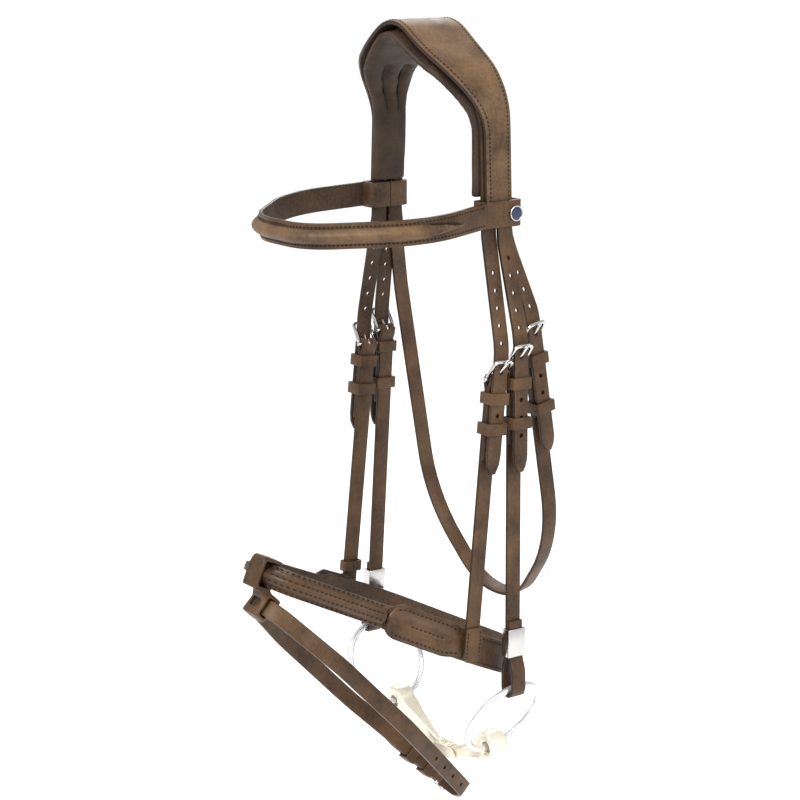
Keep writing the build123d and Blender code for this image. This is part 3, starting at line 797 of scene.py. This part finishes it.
for piece, node in ((hanger, "noseband_hanger_near"),
                    (far_copy(hanger, "hanger_strap_far"), "noseband_hanger_far")):
    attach(piece, "noseband")
    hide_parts(node)
print("hanger ends", round(hanger_end, 3), "m below its bar")

# %% A spare keeper low on the far hanger
half_y, inside, outside = 0.0078, -0.0013 - 0.0026, 0.0026
keeper_points = [(inside, 0.0), (inside, half_y), (outside, half_y), (outside, -half_y), (inside, -half_y),
                 (inside, -0.0001)]
keeper_line = rounded(keeper_points, [0.0014] * 4, step=0.0008)
keeper_line.reverse()
spare_keeper = flat_strap("spare_keeper_near", length_of(keeper_line), 0.0080, 0.0016, edge=0.0004,
                          step=0.0012, materials=both_sides_finished)
across_set = hanger_set.to_3x3()
keeper_plane = plane(hanger_set @ Vector((-0.0013, 0, -0.176)), across_set @ Vector((1, 0, 0)),
                     across_set @ Vector((0, 1, 0)))
to_place(spare_keeper, keeper_line, keeper_plane)
spare_far = far_copy(spare_keeper, "spare_keeper_far")
bpy.data.objects.remove(spare_keeper)
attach(spare_far, "noseband")
print("spare keeper", round(length_of(keeper_line), 3), "m round")

# %% [markdown]
# The browband is a flat band with a round raised front. Its two ends are loops that the
# headpiece passes through. The band is bent in a plane that drops a little to the front,
# and its roll is a second, narrower piece with a strong crown, stitched along both sides.

# %% Browband
browband_z = -0.119
loop_front = 0.009 - 0.00625 - 0.0019
loop_rear = 0.0235 + 0.00625 + 0.0005
loop_in = side_half + (corner_z - browband_z) * lean_out + 0.0073 - 0.0016
loop_out = side_half + (corner_z - browband_z) * lean_out + 0.0140 + 0.0016
reach = loop_front + 0.124
brow_half = loop_out + 0.0008
drop = math.radians(4.0)
brow_plane = plane((0, loop_front, browband_z), (1, 0, 0), (0, math.cos(drop), math.sin(drop)))
brow_corners = [(brow_half, 0.001), (brow_half + 0.014, -reach * 0.5), (0.030, -reach), (-0.030, -reach),
                (-brow_half - 0.014, -reach * 0.5), (-brow_half, 0.001)]
brow_line = rounded(brow_corners, [0.060, 0.045, 0.045, 0.060])
brow_length = length_of(brow_line)
brow_band = flat_strap("browband_band", brow_length, 0.0182, 0.0028, edge=0.0009, across=1,
                       materials=(bridle_leather, cut_edge, flesh_side))
brow_rows = [stitch_row("brow_rows", 0.004, brow_length - 0.008, side * 0.0064, 0.0015) for side in (-1, 1)]
brow_stitches = join("browband_stitches", brow_rows)
for piece in (brow_band, brow_stitches):
    to_place(piece, brow_line, brow_plane)
    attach(piece, "headpiece")
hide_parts("browband")

roll_reach = brow_length * 0.80


def tapering(start, stop, half, taper=0.030):
    def limits(x):
        nearest = max(0.0, min(x - start, stop - x))
        size = half * (0.25 + 0.75 * min(1.0, nearest / taper) ** 0.7)
        return -size, size
    return limits


roll_start = (brow_length - roll_reach) / 2
roll = flat_strap("browband_roll_soft", roll_reach, 0.0104, 0.0016, edge=0, crown=0.0044, across=9,
                  start=roll_start, outline=tapering(roll_start, roll_start + roll_reach, 0.0052),
                  materials=(crown_leather, cut_edge, cut_edge))
for vertex in roll.data.vertices:
    vertex.co.y += 0.0018
to_place(roll, brow_line, brow_plane)
only(roll)
bpy.ops.object.shade_smooth()
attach(roll, "headpiece")
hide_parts("browband_roll")
print("browband", round(brow_length, 3), "m round the front")

# %% Browband loops round the headpiece
wall = 0.0014
loop_corners = [(loop_in - wall, (loop_front + loop_rear) / 2), (loop_in - wall, loop_rear + wall),
                (loop_out + wall, loop_rear + wall), (loop_out + wall, loop_front - wall),
                (loop_in - wall, loop_front - wall), (loop_in - wall, (loop_front + loop_rear) / 2 - 0.0001)]
loop_line = rounded(loop_corners, [0.0028] * 4, step=0.001)
loop_line.reverse()
loop = flat_strap("browband_loop_near", length_of(loop_line), 0.0190, 0.0026, edge=0.0007, step=0.0015,
                  materials=both_sides_finished)
to_place(loop, loop_line, plane((0, 0, browband_z), (1, 0, 0), (0, 1, 0)))
for piece in (loop, far_copy(loop, "browband_loop_far")):
    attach(piece, "headpiece")
print("loop", round(length_of(loop_line), 3), "m round")

# %% [markdown]
# The noseband slopes down to the rear. It is one strap with a rolled front, a rounded
# padded cheek piece on each side and stitching that runs right along it. The front roll
# carries two close rows; the cheek pads carry a row round the edge and one in the middle.

# %% Noseband strap
slope = math.radians(26.0)
nose_plane = plane(mm(0, -140, -372), (1, 0, 0), (0, math.cos(slope), -math.sin(slope)))
half_loop = [(0.014, 0.252), (0.070, 0.185), (0.074, 0.150), (0.044, 0.080), (0.022, 0.0)]
half_radii = [0.012, 0.030, 0.050, 0.060, 0.020]
nose_points = [(0.0, 0.252)] + half_loop + [(-x, y) for x, y in reversed(half_loop)] + [(-0.0001, 0.252)]
nose_loop = rounded(nose_points, half_radii + half_radii[::-1])
nose_length = length_of(nose_loop)


def reaches(line, back):
    """How far along a line it first comes within a distance of the front."""
    along = 0.0
    for a, b in zip(line, line[1:]):
        if a.y > back >= b.y:
            return along + (b - a).length * (a.y - back) / (a.y - b.y)
        along += (b - a).length
    return along


pad_from, pad_to = reaches(nose_loop, 0.140), reaches(nose_loop, 0.080)


def noseband_limits(x):
    """Broad at the rear and narrower over the nose, changing under the cheek pads."""
    into = max(0.0, min(1.0, (min(x, nose_length - x) - pad_to + 0.020) / 0.020))
    half = 0.0115 - 0.0030 * into
    return -half, half


nose_strap = flat_strap("noseband_band", nose_length, 0.0230, 0.0036, edge=0.0010, outline=noseband_limits,
                        materials=(bridle_leather, cut_edge, flesh_side))
rear_rows = []
for side in (-1, 1):
    rear_rows.append(stitch_row("rear_row", 0.012, pad_from - 0.010, side * 0.0088, 0.0019))
    rear_rows.append(stitch_row("rear_row", nose_length - pad_from, pad_from - 0.012, side * 0.0088, 0.0019))
nose_stitches = join("noseband_stitches", rear_rows)
for piece in (nose_strap, nose_stitches):
    to_place(piece, nose_loop, nose_plane)
    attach(piece, "noseband")
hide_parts("noseband_strap")
print("noseband", round(nose_length, 3), "m round; pads from", round(pad_from, 3), "to", round(pad_to, 3))

# %% Nose roll
roll_from, roll_to = pad_to + 0.001, nose_length - pad_to - 0.001
nose_roll = flat_strap("nose_roll_soft", roll_to - roll_from, 0.0120, 0.0012, edge=0, crown=0.0056, across=9,
                       start=roll_from, materials=(bridle_leather, cut_edge, cut_edge))
for vertex in nose_roll.data.vertices:
    vertex.co.y += 0.0024
roll_rows = [stitch_row("roll_row", roll_from + 0.002, roll_to - roll_from - 0.004, side * 0.0074, 0.0021,
                        pitch=0.0040) for side in (-1, 1)]
roll_rows += [stitch_row("roll_row", roll_from + 0.002, roll_to - roll_from - 0.004, side * 0.0024, 0.0079,
                         pitch=0.0036) for side in (-1, 1)]
roll_stitches = join("nose_roll_stitches", roll_rows)
for piece in (nose_roll, roll_stitches):
    to_place(piece, nose_loop, nose_plane)
    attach(piece, "noseband")
only(nose_roll)
bpy.ops.object.shade_smooth()
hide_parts("nose_roll")


# %% Cheek pads
def paddle(start, stop, half):
    """Outline of the pad: a full round nose at the front and a gentler taper at the rear."""
    def limits(x):
        front = max(0.0, stop - x)
        rear = max(0.0, x - start)
        round_nose = math.sqrt(max(0.02, 1 - max(0.0, 1 - front / 0.013) ** 2))
        tail = 0.70 + 0.30 * min(1.0, rear / 0.014)
        return -half * round_nose * tail, half * round_nose * tail
    return limits


pad_shape = paddle(pad_from, pad_to, 0.0132)
backing = flat_strap("cheek_pad_backing", pad_to - pad_from, 0.027, 0.0014, edge=0.0004, across=7,
                     start=pad_from, outline=pad_shape, step=0.0015)
for vertex in backing.data.vertices:
    vertex.co.y += 0.0026
inner_shape = paddle(pad_from + 0.001, pad_to - 0.001, 0.0124)
cheek_pad = flat_strap("cheek_pad_soft", pad_to - pad_from - 0.002, 0.0255, 0.0010, edge=0, crown=0.0042,
                       across=13, start=pad_from + 0.001, outline=inner_shape, step=0.0015,
                       materials=(bridle_leather, cut_edge, cut_edge))
pad_middle = (pad_from + pad_to) / 2
for vertex in cheek_pad.data.vertices:
    share = vertex.co.z / 0.0124
    along = (vertex.co.x - pad_middle) / ((pad_to - pad_from) / 2)
    vertex.co.y += 0.0036
    if vertex.co.y > 0.0042:
        swell = max(0.0, 1 - abs(along) ** 6)
        groove = 0.0009 * math.exp(-(share / 0.10) ** 2) * (1 if abs(along) < 0.55 else 0)
        vertex.co.y = 0.0042 + (vertex.co.y - 0.0042) * swell - groove
pad_rows = []
for side in (-1, 1):
    edge_row = stitch_row("pad_row", pad_from + 0.004, pad_to - pad_from - 0.010, 0, 0.0060, pitch=0.0034)
    pad_rows.append(along_edge(edge_row, inner_shape, side, 0.0024))
pad_rows.append(stitch_row("pad_row", pad_middle - 0.014, 0.028, 0.0, 0.0077, pitch=0.0034))
pad_stitches = join("cheek_pad_stitches", pad_rows)
for piece, name in ((backing, "cheek_pad_backing"), (cheek_pad, "cheek_pad_soft"),
                    (pad_stitches, "cheek_pad_stitches")):
    to_place(piece, nose_loop, nose_plane)
    piece.name = name + "_near"
    for side_piece, side in ((piece, "near"), (far_copy(piece, name + "_far"), "far")):
        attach(side_piece, "noseband")
        if name == "cheek_pad_soft":
            only(side_piece)
            bpy.ops.object.shade_smooth()
            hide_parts("cheek_pad_" + side)
print("cheek pad stitches", len(pad_stitches.data.polygons) // 20)

# %% [markdown]
# The flash strap hangs in its own steeper plane. It runs from its small buckle up the far
# side, through the eye of a leather tab at the front, down the near side and round into the
# buckle again. The tab is one piece folded over the nose roll, and its eye is a cut slot.

# %% Flash strap
flash_slope = math.radians(46.4)
flash_plane = plane(mm(0, -144, -395), (1, 0, 0), (0, math.cos(flash_slope), -math.sin(flash_slope)))
far_start = Vector((-0.010, 0.250))
far_knee = Vector((-0.038, 0.150))
arm = (far_start - far_knee).normalized()
aside = Vector((-arm.y, arm.x))
aside = -aside if aside.x > 0 else aside
flash_turn = far_start + aside * billet_face + arm * 0.023
flash_end = far_start + aside * billet_face - arm * 0.062
flash_points = [flash_end, flash_turn, Vector((0.015, 0.256)), Vector((0.038, 0.150)), Vector((0.038, 0.062)),
                Vector((0.017, 0.0)), Vector((-0.017, 0.0)), Vector((-0.038, 0.062)), far_knee,
                far_start - arm * 0.007]
flash_radii = [0.006, 0.012, 0.090, 0.060, 0.016, 0.016, 0.060, 0.090]
fold = [far_start + aside * x + arm * -s for s, x in bar_fold[::-1]]
flash_line = rounded(flash_points[:-1] + fold[:-1] + [fold[-1] + arm * 0.034],
                     flash_radii + fold_radii[::-1], step=0.002)
flash_length = length_of(flash_line)
flash_strap = flat_strap("flash_band", flash_length, strap_width, strap_thickness, edge=0.0006, step=0.0025,
                         outline=lambda x: pointed(flash_length)(flash_length - x),
                         materials=both_sides_finished)
first_hole = 0.062 - 0.006
near_run = first_hole + 0.032
punch(flash_strap, [(first_hole, 0)] + [(near_run + 0.016 * i, 0) for i in range(6)])
to_place(flash_strap, flash_line, flash_plane)
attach(flash_strap, "flash")
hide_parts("flash_strap")
print("flash strap", round(flash_length, 3), "m long")

# %% [markdown]
# The small made parts keep the frame's exact shape. Each is copied, its loose faces are
# merged, and its edges are rounded as casting, filing and handling leave them.

# %% Buckles, tongues, clips, keepers and the bit
def rounded_copy(node, edge, segments=2, limit=32):
    """A copy of a frame node with its edges rounded. The node itself is never touched."""
    source = frame["nodes"][node]
    piece = source.copy()
    piece.data = source.data.copy()
    piece.parent = None
    piece.matrix_world = source.matrix_world.copy()
    bpy.context.collection.objects.link(piece)
    for key in list(piece.keys()):
        del piece[key]
    piece.name = node + "_made"
    piece.hide_render = False
    only(piece)
    bpy.ops.object.transform_apply(location=True, rotation=True, scale=True)
    bpy.ops.object.mode_set(mode="EDIT")
    bpy.ops.mesh.select_all(action="SELECT")
    bpy.ops.mesh.remove_doubles(threshold=0.00001)
    bpy.ops.mesh.dissolve_limited(angle_limit=math.radians(2))
    bpy.ops.object.mode_set(mode="OBJECT")
    bevel = piece.modifiers.new("edge", "BEVEL")
    bevel.width = edge
    bevel.segments = segments
    bevel.limit_method = "ANGLE"
    bevel.angle_limit = math.radians(limit)
    bevel.use_clamp_overlap = True
    apply_all(piece)
    soften(piece, 45)
    return piece


def cast(node, voxel, rounds):
    """A copy of a frame node as a soft, seamless form: fine skin over it, then smoothed."""
    piece = rounded_copy(node, 0.0003, segments=1)
    remeshed(piece, voxel)
    ease = piece.modifiers.new("ease", "SMOOTH")
    ease.factor = 0.5
    ease.iterations = rounds
    apply_all(piece)
    only(piece)
    bpy.ops.object.shade_smooth()
    return piece


def cut_slot(piece, place, size, corner):
    """Cuts a slot with rounded corners, given its place as a matrix and its size along x, y, z."""
    bpy.ops.object.select_all(action="DESELECT")
    bpy.ops.mesh.primitive_cube_add(size=1, scale=size)
    cutter = bpy.context.object
    settle(cutter)
    cutter.matrix_world = place
    round_off = cutter.modifiers.new("corner", "BEVEL")
    round_off.width = corner
    round_off.segments = 3
    only(piece)
    cut = piece.modifiers.new("slot", "BOOLEAN")
    cut.object = cutter
    cut.solver = "EXACT"
    bpy.ops.object.modifier_apply(modifier="slot")
    bpy.data.objects.remove(cutter)


bodies = {node: body for body, nodes in frame["record"]["behaviour"]["bodies"].items() for node in nodes}
steel = (buckle_steel, "hardware_steel")
hide = (bridle_leather, "strap_leather")
made = {"buckle": (*steel, 0.0006), "tongue": (*steel, 0.0005), "slide_clip": (*steel, 0.0004),
        "badge_bezel": (*steel, 0.0004), "badge_face": (badge_enamel, "badge_enamel", 0.0002),
        "keeper": (*hide, 0.0007), "runner": (*hide, 0.0007), "flash_tab": (*hide, 0.0009),
        "mouthpiece": (mouth_alloy, "mouthpiece_metal", 0.0014), "chin_chape": (*hide, 0.0006),
        "chin_billet": (*hide, 0.0006)}
for node in sorted(frame["nodes"]):
    for word, (finish, slot_name, edge) in made.items():
        if word in node:
            soft = "mouthpiece" in node or node == "flash_tab"
            rounds = 16 if node == "flash_tab" else 6
            piece = cast(node, 0.0009, rounds) if soft else rounded_copy(node, edge)
            if "mouthpiece_arm" in node:
                eye = Vector(mm(57.5 if "near" in node else -57.5, 24.2, -525.8))
                for vertex in piece.data.vertices:
                    away = vertex.co - eye
                    vertex.co = eye + away * (1 + 0.42 * math.exp(-(away.length / 0.017) ** 2))
            if node == "flash_tab":
                bottom, top = (corner[2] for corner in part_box(node))
                for vertex in piece.data.vertices:
                    rise = (vertex.co.z - bottom) / (top - bottom)
                    neck = 0.30 * math.exp(-((rise - 0.47) / 0.10) ** 2)
                    low_end, high_end = max(0.0, (0.16 - rise) / 0.16), max(0.0, (rise - 0.84) / 0.16)
                    round_end = 0.75 * low_end ** 2 + 0.6 * high_end ** 2
                    vertex.co.x *= (1.08 - neck) * math.sqrt(1 - min(0.75, round_end))
                front_wall = flash_plane @ Matrix.Translation((0, -0.0052, 0))
                cut_slot(piece, front_wall, (0.0105, 0.0050, 0.0088), 0.0020)
                soften(piece, 50)
            paint(piece, finish)
            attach(piece, bodies[node])
            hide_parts(node)
            break
for node in ("bit_ring_near", "bit_ring_far"):
    paint(frame["nodes"][node], ring_steel)

# %% [markdown]
# The bridle hangs above a plain pale floor against a white world, lit evenly from the front and above,
# with a softer light from behind for the edges. The camera looks from the near front quarter.

# %% Floor, light and camera
bpy.ops.object.select_all(action="DESELECT")
bpy.ops.mesh.primitive_plane_add(size=90, location=(0, 0, -0.80))
floor = bpy.context.object
floor.name = "floor"
bpy.ops.object.mode_set(mode="EDIT")
bpy.ops.mesh.subdivide(number_cuts=2)
bpy.ops.object.mode_set(mode="OBJECT")
settle(floor)
floor_paint = metal("pale_floor", (0.92, 0.92, 0.92), (0.8, 0.9), metallic=0.0)
paint(floor, floor_paint)

world = bpy.data.worlds.new("studio")
world.use_nodes = True
world.node_tree.nodes["Background"].inputs["Color"].default_value = (1, 1, 1, 1)
world.node_tree.nodes["Background"].inputs["Strength"].default_value = 0.75
bpy.context.scene.world = world


def lamp(name, place, target, size, power):
    bpy.ops.object.light_add(type="AREA", location=place)
    light = bpy.context.object
    light.name = name
    light.data.size = size
    light.data.energy = power
    light.rotation_euler = (Vector(target) - Vector(place)).to_track_quat("-Z", "Y").to_euler()
    return light


centre = Vector((0, -0.02, -0.262))
lamp("key", (0.5, -1.9, 1.4), centre, 1.0, 42)
lamp("side", (1.9, 0.4, 0.6), centre, 0.7, 16)
lamp("rim", (-1.3, 1.2, 1.0), centre, 0.8, 14)
bpy.ops.object.light_add(type="SUN", location=(0, 0, 3), rotation=(math.radians(40), math.radians(12), 0))
sun = bpy.context.object
sun.name = "sun"
sun.data.energy = 2.0
sun.data.angle = math.radians(30)

azimuth, elevation, distance = math.radians(53), math.radians(13.64), 1.471
towards = Vector((math.sin(azimuth) * math.cos(elevation), -math.cos(azimuth) * math.cos(elevation),
                  math.sin(elevation)))
bpy.ops.object.camera_add(location=centre + towards * distance)
camera = bpy.context.object
camera.name = "camera"
camera.rotation_euler = (-towards).to_track_quat("-Z", "Y").to_euler()
camera.data.lens = 90
camera.data.sensor_width = 36
camera.data.clip_start = 0.01
bpy.context.scene.camera = camera
bpy.context.scene.view_settings.view_transform = "Standard"
print("camera at", [round(c, 3) for c in camera.location])
